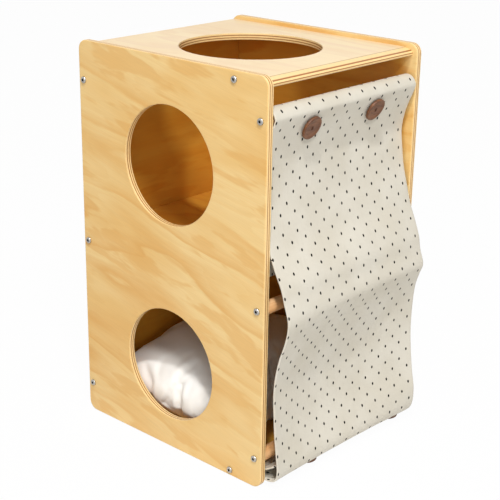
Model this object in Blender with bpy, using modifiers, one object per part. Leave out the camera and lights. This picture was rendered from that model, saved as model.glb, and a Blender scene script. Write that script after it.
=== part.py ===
"""Two-storey wooden cat house: ply panels bolted to round rails, with a buttoned cloth front.

The frame is in metres, +Z up, with the origin under the middle of the whole object, cloth
included, on the floor. The cloth front faces -Y and the panel with the doorways is at -X.
"""
import math

import bmesh
import bpy
from mathutils import Matrix, Vector

PART_NAME = "cat_house"

# Driving dimensions of the plywood case
WIDTH = 0.370
DEPTH = 0.400
HEIGHT = 0.650
PLY = 0.012
CORNER_R = 0.016
EDGE_R = 0.0015
SEAT_GAP = 0.0003

SIDE_INNER_X = WIDTH / 2 - PLY
SIDE_MID_X = WIDTH / 2 - PLY / 2
PANEL_HALF = SIDE_INNER_X - SEAT_GAP

# The cloth bulges out of the front, so the case stands back from the middle of the whole
CLOTH_FRONT_Y = -0.2411
CASE_Y = -(CLOTH_FRONT_Y + DEPTH / 2) / 2

# Round doorways
DOOR_R = 0.095
DOOR_STEPS = 56
UPPER_DOOR_Z = 0.482
LOWER_DOOR_Z = 0.148
ROOF_DOOR_R = 0.114

# Level panels: the height of their mid planes, and their front edges
ROOF_Z = HEIGHT - 0.013
SHELF_Z = 0.334
FLOOR_Z = 0.010
ROOF_FRONT_Y = -0.191
ROOF_NOSE = 0.025
ROOF_NOSE_DROP = 0.0075
SHELF_FRONT_Y = -0.150
FLOOR_FRONT_Y = -0.163
BACK_Y = 0.189
BACK_OUTER_Y = BACK_Y + PLY / 2
BACK_INNER_Y = BACK_Y - PLY / 2

# Round front rails
RAIL_R = 0.0105
RAIL_Y = -0.187
TOP_RAIL_Z = 0.585
MIDDLE_RAIL_Z = 0.297
BOTTOM_RAIL_Z = 0.050
RAIL_CHAMFER = 0.0008

# Furniture bolts with a button head
BOLT_R = 0.003
BOLT_LENGTH = 0.040
HEAD_R = 0.0055
HEAD_HEIGHT = 0.0028
HEAD_RIM = 0.0008
SOCKET_R = 0.0023
SOCKET_DEPTH = 0.0018
BORE_R = 0.0034
BORE_DEPTH = 0.031

# Barrel nuts in the panels
NUT_R = 0.005
NUT_HEIGHT = 0.009
NUT_INSET = 0.025
NUT_CHAMFER = 0.0006

# Threaded inserts in the rails
INSERT_R = 0.0045
INSERT_LENGTH = 0.015
INSERT_FLANGE_R = 0.0056
INSERT_FLANGE = 0.0010
INSERT_CHAMFER = 0.0008

# Places of the bolts on the side panels
PANEL_BOLT_Y = -0.136
BACK_BOLT_Z = {"top": 0.586, "middle": 0.315, "bottom": 0.052}
RAIL_Z = {"top": TOP_RAIL_Z, "middle": MIDDLE_RAIL_Z, "bottom": BOTTOM_RAIL_Z}

# Wooden dowel pins between the side panels and the level panels
DOWEL_R = 0.003
DOWEL_LENGTH = 0.024
DOWEL_IN_SIDE = 0.0075
DOWEL_CHAMFER = 0.0006
REAR_DOWEL_Y = 0.120
FRONT_DOWEL_Y = -0.110

# Cloth front: one strip over the top rail, with a flap inside and a tail folded in at the bottom
CLOTH_LEFT_X = -0.1715
CLOTH_RIGHT_X = 0.1680
CLOTH_THICK = 0.0024
CLOTH_STEPS = 60
CLOTH_SECTIONS = 9
LOOP_R = 0.0160
FOLD_Z = 0.013
FLAP = ((-0.1745, 0.338), (-0.1735, 0.440), (-0.1725, 0.525), (-0.1712, 0.556))
# Height, then how far forward the cloth stands there: at its left edge, middle and right edge
FALL = (
    (0.569, -0.1965, -0.1940, -0.1968),
    (0.556, -0.1932, -0.1880, -0.1912),
    (0.540, -0.1905, -0.1832, -0.1856),
    (0.512, -0.1868, -0.1810, -0.1805),
    (0.481, -0.1850, -0.1835, -0.1837),
    (0.450, -0.1868, -0.1878, -0.1890),
    (0.420, -0.1912, -0.1948, -0.1975),
    (0.391, -0.1982, -0.2032, -0.2065),
    (0.364, -0.2092, -0.2160, -0.2180),
    (0.338, -0.2222, -0.2272, -0.2280),
    (0.316, -0.2290, -0.2305, -0.2325),
    (0.292, -0.2360, -0.2375, -0.2402),
    (0.274, -0.2358, -0.2325, -0.2345),
    (0.252, -0.2308, -0.2225, -0.2280),
    (0.226, -0.2220, -0.2140, -0.2252),
    (0.196, -0.2152, -0.2072, -0.2243),
    (0.165, -0.2122, -0.2030, -0.2250),
    (0.132, -0.2135, -0.2030, -0.2278),
    (0.096, -0.2160, -0.2065, -0.2325),
    (0.062, -0.2205, -0.2150, -0.2385),
    (0.034, -0.2235, -0.2235, -0.2370),
    (0.019, -0.2200, -0.2210, -0.2280),
)
FOLD_FRONT_Y = (-0.2085, -0.2090, -0.2130)
FOLD = ((-0.1930, 0.0125), (-0.1780, 0.0135))
TAIL = ((-0.1705, 0.0190), (-0.1780, 0.0250), (-0.1950, 0.0290), (-0.2165, 0.0420))

# Sewn wooden buttons
BUTTON_R = 0.019
BUTTON_THICK = 0.0046
BUTTON_STANDOFF = 0.0013
BUTTON_RIM = 0.0035
BUTTON_DISH = 0.0011
BUTTON_EDGE_R = 0.0012
BUTTON_STEPS = 24
THREAD_HOLE_R = 0.0012
THREAD_HOLE_X = 0.0028
TOP_BUTTON_X = {"left": -0.085, "right": 0.071}
BOTTOM_BUTTON_X = {"left": -0.066, "right": 0.146}
TOP_BUTTON_Z = 0.564
BOTTOM_BUTTON_Y = {"left": -0.1925, "right": -0.2005}

# Floor cushion
CUSHION_HALF_X = 0.166
CUSHION_HALF_Y = 0.150
CUSHION_Y = 0.020
CUSHION_BASE = FLOOR_Z + PLY / 2 + SEAT_GAP
CUSHION_SEAM = 0.062
CUSHION_CROWN = 0.070
CUSHION_PULL_IN = 0.018

# Sides of the turned pieces, and how far a cutter runs past the face that it opens
SMALL_STEPS = 12
PAST = 0.002

# Finishes: red, green, blue, roughness, metallic
FINISHES = {
    "pine_ply": (0.80, 0.56, 0.26, 0.42, 0.0),
    "beech": (0.83, 0.50, 0.24, 0.45, 0.0),
    "zinc_steel": (0.62, 0.63, 0.64, 0.28, 1.0),
    "brass": (0.70, 0.52, 0.24, 0.35, 1.0),
    "dowel_wood": (0.72, 0.52, 0.32, 0.70, 0.0),
    "dotted_canvas": (0.80, 0.76, 0.67, 0.90, 0.0),
    "button_wood": (0.20, 0.085, 0.035, 0.50, 0.0),
    "cushion_cotton": (0.86, 0.83, 0.79, 0.92, 0.0),
}


def clear_scene():
    for old in list(bpy.data.objects):
        bpy.data.objects.remove(old, do_unlink=True)


def new_collection(name):
    made = bpy.data.collections.new(name)
    bpy.context.scene.collection.children.link(made)
    return made


def new_empty(name, location, parent=None):
    """A point that pieces hang from."""
    made = bpy.data.objects.new(name, None)
    made.location = location
    made.parent = parent
    made.empty_display_size = 0.05
    parts.objects.link(made)
    return made


def finish(name):
    """The material of one finish, made once."""
    if name in bpy.data.materials:
        return bpy.data.materials[name]
    red, green, blue, rough, metal = FINISHES[name]
    made = bpy.data.materials.new(name)
    made.use_nodes = True
    shader = made.node_tree.nodes["Principled BSDF"]
    shader.inputs["Base Color"].default_value = (red, green, blue, 1.0)
    shader.inputs["Roughness"].default_value = rough
    shader.inputs["Metallic"].default_value = metal
    made.diffuse_color = (red, green, blue, 1.0)
    return made


def add_part(name, mesh, material, location=(0, 0, 0), rotation=(0, 0, 0)):
    """A named piece, placed in the case's own axes."""
    made = bpy.data.objects.new(name, mesh)
    mesh.materials.clear()
    mesh.materials.append(finish(material))
    made.location = location
    made.rotation_euler = rotation
    made.parent = case
    parts.objects.link(made)
    return made


def add_cutter(name, mesh, parent=None):
    made = bpy.data.objects.new(name, mesh)
    made.hide_render = True
    made.display_type = "WIRE"
    made.parent = parent
    cutters.objects.link(made)
    return made


def cut(part, cutter, label):
    """Takes the cutter's space out of the part."""
    made = part.modifiers.new(label, "BOOLEAN")
    made.operation = "DIFFERENCE"
    made.solver = "EXACT"
    made.object = cutter


def cut_rods(part, label, rods):
    """Drills straight round holes: each rod is a start, an end and a radius."""
    name = f"{part.name}_{label}"
    cut(part, add_cutter(name, rods_mesh(name, rods, SMALL_STEPS), case), label)


def round_over(part, width, segments=2):
    made = part.modifiers.new("rounded_edges", "BEVEL")
    made.width = width
    made.segments = segments
    made.limit_method = "ANGLE"
    made.angle_limit = math.radians(50)


def smooth(mesh, angle=35):
    mesh.shade_smooth()
    mesh.set_sharp_from_angle(angle=math.radians(angle))


def rounded_rectangle(low, high, radius, steps):
    """Corner points of a rectangle whose corners are arcs."""
    points = []
    centres = (
        (high[0] - radius, high[1] - radius),
        (low[0] + radius, high[1] - radius),
        (low[0] + radius, low[1] + radius),
        (high[0] - radius, low[1] + radius),
    )
    for quarter, (across, up) in enumerate(centres):
        for step in range(steps + 1):
            angle = math.pi / 2 * (quarter + step / steps)
            points.append((across + radius * math.cos(angle), up + radius * math.sin(angle)))
    return points


def circle_points(centre, radius, steps):
    turn = [2 * math.pi * step / steps for step in range(steps)]
    return [(centre[0] + radius * math.cos(a), centre[1] + radius * math.sin(a)) for a in turn]


def mesh_of_curve(curve):
    """The welded mesh of a curve's filled shape."""
    holder = bpy.data.objects.new(curve.name, curve)
    bpy.context.scene.collection.objects.link(holder)
    graph = bpy.context.evaluated_depsgraph_get()
    mesh = bpy.data.meshes.new_from_object(holder.evaluated_get(graph))
    bpy.data.objects.remove(holder, do_unlink=True)
    work = bmesh.new()
    work.from_mesh(mesh)
    bmesh.ops.remove_doubles(work, verts=work.verts, dist=0.000001)
    bmesh.ops.dissolve_limit(
        work, angle_limit=math.radians(0.5), verts=work.verts, edges=work.edges
    )
    bmesh.ops.recalc_face_normals(work, faces=work.faces)
    work.to_mesh(mesh)
    work.free()
    return mesh


def cut_out_mesh(name, outlines, thickness):
    """An upright board whose outlines run along Y and Z: its edge first, and then its holes."""
    curve = bpy.data.curves.new(name, "CURVE")
    curve.dimensions = "2D"
    curve.fill_mode = "BOTH"
    curve.extrude = thickness / 2
    for outline in outlines:
        spline = curve.splines.new("POLY")
        spline.points.add(len(outline) - 1)
        for point, (across, up) in zip(spline.points, outline):
            point.co = (across, up, 0.0, 1.0)
        spline.use_cyclic_u = True
    mesh = mesh_of_curve(curve)
    mesh.transform(Matrix(((0, 0, 1, 0), (1, 0, 0, 0), (0, 1, 0, 0), (0, 0, 0, 1))))
    return mesh


def box_mesh(name, size):
    """A box centred on its own origin."""
    work = bmesh.new()
    bmesh.ops.create_cube(work, size=1.0)
    bmesh.ops.scale(work, vec=Vector(size), verts=work.verts)
    mesh = bpy.data.meshes.new(name)
    work.to_mesh(mesh)
    work.free()
    return mesh


def rods_mesh(name, rods, steps):
    """Several separate round rods in one mesh."""
    work = bmesh.new()
    for start, end, radius in rods:
        along = Vector(end) - Vector(start)
        turn = along.to_track_quat("Z", "Y").to_matrix().to_4x4()
        bmesh.ops.create_cone(
            work,
            cap_ends=True,
            segments=steps,
            radius1=radius,
            radius2=radius,
            depth=along.length,
            matrix=Matrix.Translation((Vector(start) + Vector(end)) / 2) @ turn,
        )
    mesh = bpy.data.meshes.new(name)
    work.to_mesh(mesh)
    work.free()
    return mesh


def profile_mesh(name, profile, closed=False):
    """A chain of edges to turn round Z, from (radius, height) points."""
    mesh = bpy.data.meshes.new(name)
    points = [(radius, 0.0, height) for radius, height in profile]
    edges = [(i, i + 1) for i in range(len(points) - 1)]
    if closed:
        edges.append((len(points) - 1, 0))
    mesh.from_pydata(points, edges, [])
    return mesh


def turn_solid(part, steps):
    """Spins the part's profile once round its own Z axis."""
    made = part.modifiers.new("turned", "SCREW")
    made.axis = "Z"
    made.steps = steps
    made.render_steps = steps
    made.use_merge_vertices = True
    made.merge_threshold = 0.00001


def turned_and_drilled(name, profile, steps, drill):
    """The mesh of a turned solid with the drill's space taken out, both in the piece's axes."""
    holder = bpy.data.objects.new(name, profile_mesh(name, profile))
    bpy.context.scene.collection.objects.link(holder)
    turn_solid(holder, steps)
    cut(holder, drill, "drilled")
    graph = bpy.context.evaluated_depsgraph_get()
    mesh = bpy.data.meshes.new_from_object(holder.evaluated_get(graph))
    bpy.data.objects.remove(holder, do_unlink=True)
    smooth(mesh)
    return mesh


def bolt_places():
    """Where the bolts go through a side panel, as (Y, Z)."""
    places = {}
    for level, z in BACK_BOLT_Z.items():
        places["back_" + level] = (BACK_Y, z)
    for level, z in RAIL_Z.items():
        places["rail_" + level] = (RAIL_Y, z)
    places["roof"] = (PANEL_BOLT_Y, ROOF_Z)
    places["floor"] = (PANEL_BOLT_Y, FLOOR_Z)
    return places


def dowel_places():
    """Where the wooden pins sit in a side panel, as (Y, Z)."""
    return {
        "roof": (REAR_DOWEL_Y, ROOF_Z),
        "shelf_front": (FRONT_DOWEL_Y, SHELF_Z),
        "shelf_rear": (REAR_DOWEL_Y, SHELF_Z),
        "floor": (REAR_DOWEL_Y, FLOOR_Z),
    }


def drill_ends(part, label, places, radius, depth):
    """Drills equal holes into both ends of a piece that spans the case."""
    rods = []
    for y, z in places:
        for side in (-1, 1):
            start = (side * (PANEL_HALF + PAST), y, z)
            rods.append((start, (side * (PANEL_HALF - depth), y, z), radius))
    cut_rods(part, label, rods)


def drill_for_pins(part, places):
    drill_ends(part, "pin_bores", places, DOWEL_R + SEAT_GAP, DOWEL_LENGTH - DOWEL_IN_SIDE)


def drill_for_nuts(part, places, opening):
    """Bolt holes in both ends, and cross holes for the barrel nuts from the opening's side."""
    drill_ends(part, "bolt_bores", places, BORE_R, BORE_DEPTH)
    rods = []
    for y, z in places:
        for side in (-1, 1):
            middle = Vector((side * (PANEL_HALF - NUT_INSET), y, z))
            closed_end = middle - opening * (NUT_HEIGHT / 2 + SEAT_GAP)
            rods.append((closed_end, middle + opening * PLY, NUT_R + SEAT_GAP))
    cut_rods(part, "nut_bores", rods)


def side_panel(name, side, door_heights):
    """One side of the case: an upright board with rounded corners, doorways and bores."""
    outline = rounded_rectangle((-DEPTH / 2, 0.0), (DEPTH / 2, HEIGHT), CORNER_R, 6)
    doors = [circle_points((0.0, z), DOOR_R, DOOR_STEPS) for z in door_heights]
    mesh = cut_out_mesh(name, [outline] + doors, PLY)
    part = add_part(name, mesh, "pine_ply", (side * SIDE_MID_X, 0.0, 0.0))
    round_over(part, EDGE_R)
    outside = side * (WIDTH / 2 + PAST)
    inside = side * (SIDE_INNER_X - PAST)
    bolts = [((outside, y, z), (inside, y, z), BORE_R) for y, z in bolt_places().values()]
    cut_rods(part, "bolt_bores", bolts)
    deep = side * (SIDE_INNER_X + DOWEL_IN_SIDE + SEAT_GAP)
    radius = DOWEL_R + SEAT_GAP
    pins = [((inside, y, z), (deep, y, z), radius) for y, z in dowel_places().values()]
    cut_rods(part, "pin_bores", pins)


def roof_section():
    """Side view of the roof board as (Y, Z), with the long rounded nose at its front."""
    top = ROOF_Z + PLY / 2
    low = ROOF_Z - PLY / 2
    steps = 7
    nose = []
    for step in range(steps + 1):
        angle = math.pi / 2 * step / steps
        back = ROOF_NOSE * (1 - math.sin(angle))
        nose.append((ROOF_FRONT_Y + back, top - ROOF_NOSE_DROP * (1 - math.cos(angle))))
    front = [(ROOF_FRONT_Y, low + EDGE_R), (ROOF_FRONT_Y + EDGE_R, low)]
    rear = [(BACK_OUTER_Y - EDGE_R, low), (BACK_OUTER_Y, low + EDGE_R)]
    rear += [(BACK_OUTER_Y, top - EDGE_R), (BACK_OUTER_Y - EDGE_R, top)]
    return nose + front + rear


def roof_door_cutter():
    """A plug that cuts the way in from above and takes its rims off in two flats each."""
    half = PLY / 2
    shallow, steep = 0.3 * EDGE_R, 1.7 * EDGE_R
    upper = [
        (0.0, PLY),
        (ROOF_DOOR_R + steep, PLY),
        (ROOF_DOOR_R + steep, half + shallow),
        (ROOF_DOOR_R + shallow, half - shallow),
        (ROOF_DOOR_R, half - EDGE_R),
    ]
    lower = [(radius, -height) for radius, height in reversed(upper)]
    cutter = add_cutter("roof_door", profile_mesh("roof_door", upper + lower), case)
    cutter.location = (0.0, 0.0, ROOF_Z)
    turn_solid(cutter, DOOR_STEPS)
    return cutter


def roof_panel():
    """The roof board, let in between the side panels, with the round way in from above."""
    part = add_part(
        "roof_panel", cut_out_mesh("roof_panel", [roof_section()], 2 * PANEL_HALF), "pine_ply"
    )
    cut(part, roof_door_cutter(), "roof_door")
    drill_for_nuts(part, [(PANEL_BOLT_Y, ROOF_Z)], Vector((0, 0, -1)))
    drill_for_pins(part, [(REAR_DOWEL_Y, ROOF_Z)])


def plain_board(name, low, high):
    """A rectangular board with rounded edges, between two opposite corners as (Y, Z)."""
    size = (2 * PANEL_HALF, high[0] - low[0], high[1] - low[1])
    middle = (0.0, (low[0] + high[0]) / 2, (low[1] + high[1]) / 2)
    part = add_part(name, box_mesh(name, size), "pine_ply", middle)
    round_over(part, EDGE_R)
    return part


def level_board(name, front, middle_z):
    """A board that spans the case in front of the back panel."""
    rear = BACK_INNER_Y - SEAT_GAP
    return plain_board(name, (front, middle_z - PLY / 2), (rear, middle_z + PLY / 2))


def middle_shelf():
    """The upper floor, held by two wooden pins at each side."""
    part = level_board("middle_shelf", SHELF_FRONT_Y, SHELF_Z)
    drill_for_pins(part, [(FRONT_DOWEL_Y, SHELF_Z), (REAR_DOWEL_Y, SHELF_Z)])


def floor_panel():
    part = level_board("floor_panel", FLOOR_FRONT_Y, FLOOR_Z)
    drill_for_nuts(part, [(PANEL_BOLT_Y, FLOOR_Z)], Vector((0, 0, -1)))
    drill_for_pins(part, [(REAR_DOWEL_Y, FLOOR_Z)])


def back_panel():
    """The back board, which stands behind the floor and under the roof."""
    low = (BACK_INNER_Y, FLOOR_Z - PLY / 2)
    high = (BACK_OUTER_Y, ROOF_Z - PLY / 2 - SEAT_GAP)
    part = plain_board("back_panel", low, high)
    drill_for_nuts(part, [(BACK_Y, z) for z in BACK_BOLT_Z.values()], Vector((0, 1, 0)))


def front_rail(name, z):
    """A round rod across the front, bored at both ends for its threaded inserts."""
    curve = bpy.data.curves.new(name, "CURVE")
    curve.dimensions = "3D"
    curve.bevel_depth = RAIL_R
    curve.bevel_resolution = 6
    curve.use_fill_caps = True
    spline = curve.splines.new("POLY")
    spline.points.add(1)
    spline.points[0].co = (-PANEL_HALF, RAIL_Y, z, 1.0)
    spline.points[1].co = (PANEL_HALF, RAIL_Y, z, 1.0)
    mesh = mesh_of_curve(curve)
    smooth(mesh)
    part = add_part(name, mesh, "beech")
    round_over(part, RAIL_CHAMFER, 1)
    place = [(RAIL_Y, z)]
    drill_ends(part, "shank_bores", place, BORE_R, BORE_DEPTH)
    drill_ends(part, "sleeve_bores", place, INSERT_R + SEAT_GAP, INSERT_LENGTH + SEAT_GAP)
    drill_ends(part, "flange_seats", place, INSERT_FLANGE_R + SEAT_GAP, INSERT_FLANGE + SEAT_GAP)


def bolt_profile():
    """Half of a button-head bolt: the head is above its seat at 0 and the shank is below."""
    crown = SOCKET_R + HEAD_RIM
    steps = 2
    dome = []
    for step in range(steps + 1):
        angle = math.pi / 2 * step / steps
        across = crown + (HEAD_R - crown) * math.sin(angle)
        dome.append((across, HEAD_RIM + (HEAD_HEIGHT - HEAD_RIM) * math.cos(angle)))
    head = [(0.0, HEAD_HEIGHT)] + dome + [(HEAD_R, 0.0)]
    shank = [(BOLT_R, 0.0), (BOLT_R, NUT_CHAMFER - BOLT_LENGTH)]
    tip = [(BOLT_R - NUT_CHAMFER, -BOLT_LENGTH), (0.0, -BOLT_LENGTH)]
    return head + shank + tip


def rod_profile(radius, length, chamfer):
    """Half of a plain rod with chamfered ends, centred on its middle."""
    half = length / 2
    upper = [(0.0, half), (radius - chamfer, half), (radius, half - chamfer)]
    return upper + [(across, -height) for across, height in reversed(upper)]


def insert_profile():
    """Half of a flanged threaded insert, its mouth at 0 and its sleeve below."""
    bore = BOLT_R + SEAT_GAP
    flange = [(bore, 0.0), (INSERT_FLANGE_R, 0.0), (INSERT_FLANGE_R, -INSERT_FLANGE)]
    sleeve = [(INSERT_R, -INSERT_FLANGE), (INSERT_R, INSERT_CHAMFER - INSERT_LENGTH)]
    end = [(INSERT_R - INSERT_CHAMFER, -INSERT_LENGTH), (bore, -INSERT_LENGTH)]
    return flange + sleeve + end


def bolt_mesh():
    rod = [((0, 0, HEAD_HEIGHT - SOCKET_DEPTH), (0, 0, HEAD_HEIGHT + PAST), SOCKET_R)]
    socket = add_cutter("hex_socket", rods_mesh("hex_socket", rod, 6))
    return turned_and_drilled("furniture_bolt", bolt_profile(), SMALL_STEPS, socket)


def barrel_nut_mesh():
    """A short steel cylinder whose threaded hole runs across it."""
    reach = NUT_R + PAST
    rod = [((-reach, 0, 0), (reach, 0, 0), BOLT_R + SEAT_GAP)]
    thread = add_cutter("nut_thread", rods_mesh("nut_thread", rod, SMALL_STEPS))
    profile = rod_profile(NUT_R, NUT_HEIGHT, NUT_CHAMFER)
    return turned_and_drilled("barrel_nut", profile, SMALL_STEPS, thread)


def place_bolt(name, side, place, mesh):
    """A bolt whose head rests on the side panel's outer face."""
    seat = (side * (WIDTH / 2 + SEAT_GAP), place[0], place[1])
    add_part(name, mesh, "zinc_steel", seat, (0.0, side * math.pi / 2, 0.0))


def place_nut(name, side, place, mesh, lies_back):
    middle = (side * (PANEL_HALF - NUT_INSET), place[0], place[1])
    turn = (-math.pi / 2, 0.0, 0.0) if lies_back else (0.0, 0.0, 0.0)
    add_part(name, mesh, "zinc_steel", middle, turn)


def rail_insert(name, side, z):
    mesh = profile_mesh(name, insert_profile(), closed=True)
    mouth = (side * PANEL_HALF, RAIL_Y, z)
    part = add_part(name, mesh, "brass", mouth, (0.0, side * math.pi / 2, 0.0))
    turn_solid(part, SMALL_STEPS)


def dowel_pin(name, side, place):
    """A wooden pin that reaches from a blind hole in the side panel into a level board."""
    mesh = profile_mesh(name, rod_profile(DOWEL_R, DOWEL_LENGTH, DOWEL_CHAMFER))
    middle = side * (SIDE_INNER_X + DOWEL_IN_SIDE - DOWEL_LENGTH / 2)
    spot = (middle, place[0], place[1])
    part = add_part(name, mesh, "dowel_wood", spot, (0.0, math.pi / 2, 0.0))
    turn_solid(part, SMALL_STEPS)


def fasteners():
    """Bolts, nuts, inserts and pins at both sides of the case."""
    bolt = bolt_mesh()
    nut = barrel_nut_mesh()
    for side, word in ((-1, "left"), (1, "right")):
        for label, place in bolt_places().items():
            place_bolt(f"{word}_{label}_bolt", side, place, bolt)
            if label.startswith("rail"):
                rail_insert(f"{word}_{label}_insert", side, place[1])
            else:
                place_nut(f"{word}_{label}_nut", side, place, nut, label.startswith("back"))
        for label, place in dowel_places().items():
            dowel_pin(f"{word}_{label}_dowel", side, place)


def cloth_points(column):
    """Side view of the cloth at its left edge 0, middle 1 or right edge 2, from hem to hem."""
    loop = []
    for step in range(9):
        angle = math.pi * step / 8
        loop.append((RAIL_Y + LOOP_R * math.cos(angle), TOP_RAIL_Z + LOOP_R * math.sin(angle)))
    fall = [(row[column + 1], row[0]) for row in FALL]
    fold = [(FOLD_FRONT_Y[column], FOLD_Z)] + list(FOLD) + list(TAIL)
    return [Vector(point) for point in list(FLAP) + loop + fall + fold]


def curve_point(points, share):
    """A place on the smooth curve between the middle two of four points."""
    before, start, stop, after = points
    drift = (stop - before) * share
    bend = (2 * before - 5 * start + 4 * stop - after) * share**2
    swing = (3 * start - before - 3 * stop + after) * share**3
    return start + 0.5 * (drift + bend + swing)


def smooth_path(points, count):
    """Evenly spaced places on the smooth curve through the points."""
    pieces = 8
    ends = [points[0]] + list(points) + [points[-1]]
    fine = []
    for i in range(len(points) - 1):
        for step in range(pieces):
            fine.append(curve_point(ends[i : i + 4], step / pieces))
    fine.append(points[-1])
    reach = [0.0]
    for here, there in zip(fine, fine[1:]):
        reach.append(reach[-1] + (there - here).length)
    path = []
    at = 0
    for step in range(count):
        want = reach[-1] * step / (count - 1)
        while at < len(reach) - 2 and reach[at + 1] < want:
            at += 1
        share = (want - reach[at]) / (reach[at + 1] - reach[at])
        path.append(fine[at].lerp(fine[at + 1], share))
    return path


def cloth_path(x, count):
    """The cloth's side view at a place across it, on parabolas through the three columns."""
    across = (x - CLOTH_LEFT_X) / (CLOTH_RIGHT_X - CLOTH_LEFT_X)
    left = (1 - across) * (1 - 2 * across)
    middle = 4 * across * (1 - across)
    right = across * (2 * across - 1)
    columns = zip(cloth_points(0), cloth_points(1), cloth_points(2))
    return smooth_path([left * a + middle * b + right * c for a, b, c in columns], count)


def curtain():
    """The cloth front as one hanging sheet, lofted through its unlike edges and middle."""
    work = bmesh.new()
    rows = []
    for section in range(CLOTH_SECTIONS):
        x = CLOTH_LEFT_X + (CLOTH_RIGHT_X - CLOTH_LEFT_X) * section / (CLOTH_SECTIONS - 1)
        path = cloth_path(x, CLOTH_STEPS)
        rows.append([work.verts.new((x, y - RAIL_Y, z - TOP_RAIL_Z)) for y, z in path])
    for low, high in zip(rows, rows[1:]):
        for i in range(CLOTH_STEPS - 1):
            work.faces.new((low[i], high[i], high[i + 1], low[i + 1]))
    mesh = bpy.data.meshes.new("curtain")
    work.to_mesh(mesh)
    work.free()
    smooth(mesh, 60)
    part = add_part("curtain", mesh, "dotted_canvas")
    part.parent = curtain_pivot
    made = part.modifiers.new("cloth_thickness", "SOLIDIFY")
    made.thickness = CLOTH_THICK
    made.offset = 0.0
    made.use_even_offset = True


def cloth_place(x, height=None, depth=None):
    """Where a button's middle goes on the cloth, and the direction that its face looks in.

    The place is at a height on the front fall, or at a depth on the fold below. The button lies
    on the highest swelling of the cloth under it.
    """
    path = cloth_path(x, 400)
    crest = max(range(len(path)), key=lambda i: path[i][1])
    fall = range(crest + 1, len(path) - 1)
    if height is not None:
        near = next(i for i in fall if path[i][1] <= height)
    else:
        low = [i for i in fall if path[i][1] < FOLD_Z + CLOTH_THICK]
        near = min(low, key=lambda i: abs(path[i][0] - depth))
    reach = round(BUTTON_R / (path[1] - path[0]).length)
    under = []
    for place in (x - BUTTON_R, x, x + BUTTON_R):
        strip = cloth_path(place, 400)[near - reach : near + reach + 1]
        under.append([Vector((place, y, z)) for y, z in strip])
    down = under[1][-1] - under[1][0]
    right = under[2][reach] - under[0][reach]
    outward = down.cross(right).normalized()
    spot = under[1][reach]
    swelling = max((point - spot).dot(outward) for strip in under for point in strip)
    return spot + outward * swelling, outward


def button_profile():
    """Half of a flat wooden button: a raised rim round a dished face."""
    half = BUTTON_THICK / 2
    inner = BUTTON_R - BUTTON_RIM
    round_r = BUTTON_EDGE_R
    face = [(0.0, half - BUTTON_DISH), (inner - BUTTON_DISH, half - BUTTON_DISH), (inner, half)]
    edge = [(BUTTON_R - round_r, half), (BUTTON_R, half - round_r), (BUTTON_R, round_r - half)]
    return face + edge + [(BUTTON_R - round_r, -half), (0.0, -half)]


def button_mesh():
    rods = []
    for side in (-1, 1):
        x = side * THREAD_HOLE_X
        rods.append(((x, 0, -BUTTON_THICK), (x, 0, BUTTON_THICK), THREAD_HOLE_R))
    holes = add_cutter("thread_holes", rods_mesh("thread_holes", rods, 8))
    return turned_and_drilled("wooden_button", button_profile(), BUTTON_STEPS, holes)


def place_button(name, mesh, spot, outward):
    """A sewn button that stands off the cloth by its thread."""
    lift = CLOTH_THICK / 2 + BUTTON_STANDOFF + BUTTON_THICK / 2
    part = add_part(name, mesh, "button_wood", spot + outward * lift - curtain_pivot.location)
    part.parent = curtain_pivot
    part.rotation_euler = outward.to_track_quat("Z", "X").to_euler()


def buttons():
    """Two buttons under the top rail and two below the fold at the bottom."""
    mesh = button_mesh()
    for word, x in TOP_BUTTON_X.items():
        place_button(f"top_{word}_button", mesh, *cloth_place(x, height=TOP_BUTTON_Z))
    for word, x in BOTTOM_BUTTON_X.items():
        place_button(f"bottom_{word}_button", mesh, *cloth_place(x, depth=BOTTOM_BUTTON_Y[word]))


def cushion():
    """The floor cushion: a plump crown, full corners, and sides drawn in between them."""
    work = bmesh.new()
    bmesh.ops.create_cube(work, size=2.0)
    bmesh.ops.subdivide_edges(work, edges=work.edges, cuts=2, use_grid_fill=True)
    for vert in work.verts:
        u, v, w = vert.co
        half_x = CUSHION_HALF_X - CUSHION_PULL_IN * (1 - v * v)
        half_y = CUSHION_HALF_Y - CUSHION_PULL_IN * (1 - u * u)
        height = CUSHION_CROWN if w > 0 else CUSHION_SEAM
        spread, rise = 1.06, 1.12
        if abs(w) > 0.9 and max(abs(u), abs(v)) > 0.9:
            spread, rise = (0.86, 0.62) if w > 0 else (0.82, 0.95)
        vert.co = (u * half_x * spread, v * half_y * spread, w * height * rise)
    mesh = bpy.data.meshes.new("cushion")
    work.to_mesh(mesh)
    work.free()
    smooth(mesh, 80)
    middle = (0.0, CUSHION_Y, CUSHION_BASE + CUSHION_SEAM)
    part = add_part("cushion", mesh, "cushion_cotton", middle)
    made = part.modifiers.new("soft_form", "SUBSURF")
    made.levels = 2
    made.render_levels = 2
    block = add_cutter("cushion_rest", box_mesh("cushion_rest", (WIDTH, DEPTH, DEPTH)), case)
    block.location = (0.0, 0.0, CUSHION_BASE - DEPTH / 2)
    cut(part, block, "flat_rest")


clear_scene()
parts = new_collection(PART_NAME)
cutters = new_collection("cutters")
case = new_empty("case", (0.0, CASE_Y, 0.0))
curtain_pivot = new_empty("curtain_pivot", (0.0, RAIL_Y, TOP_RAIL_Z), case)

side_panel("left_side_panel", -1, (UPPER_DOOR_Z, LOWER_DOOR_Z))
side_panel("right_side_panel", 1, ())
back_panel()
roof_panel()
middle_shelf()
floor_panel()
for level_name, rail_z in RAIL_Z.items():
    front_rail(level_name + "_front_rail", rail_z)
fasteners()
curtain()
buttons()
cushion()
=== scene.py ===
"""Looks of the wooden cat house: ply panels, round rails, dotted cloth front, floor cushion."""

import math

import bmesh
import bpy
from mathutils import Matrix, Vector, noise


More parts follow.
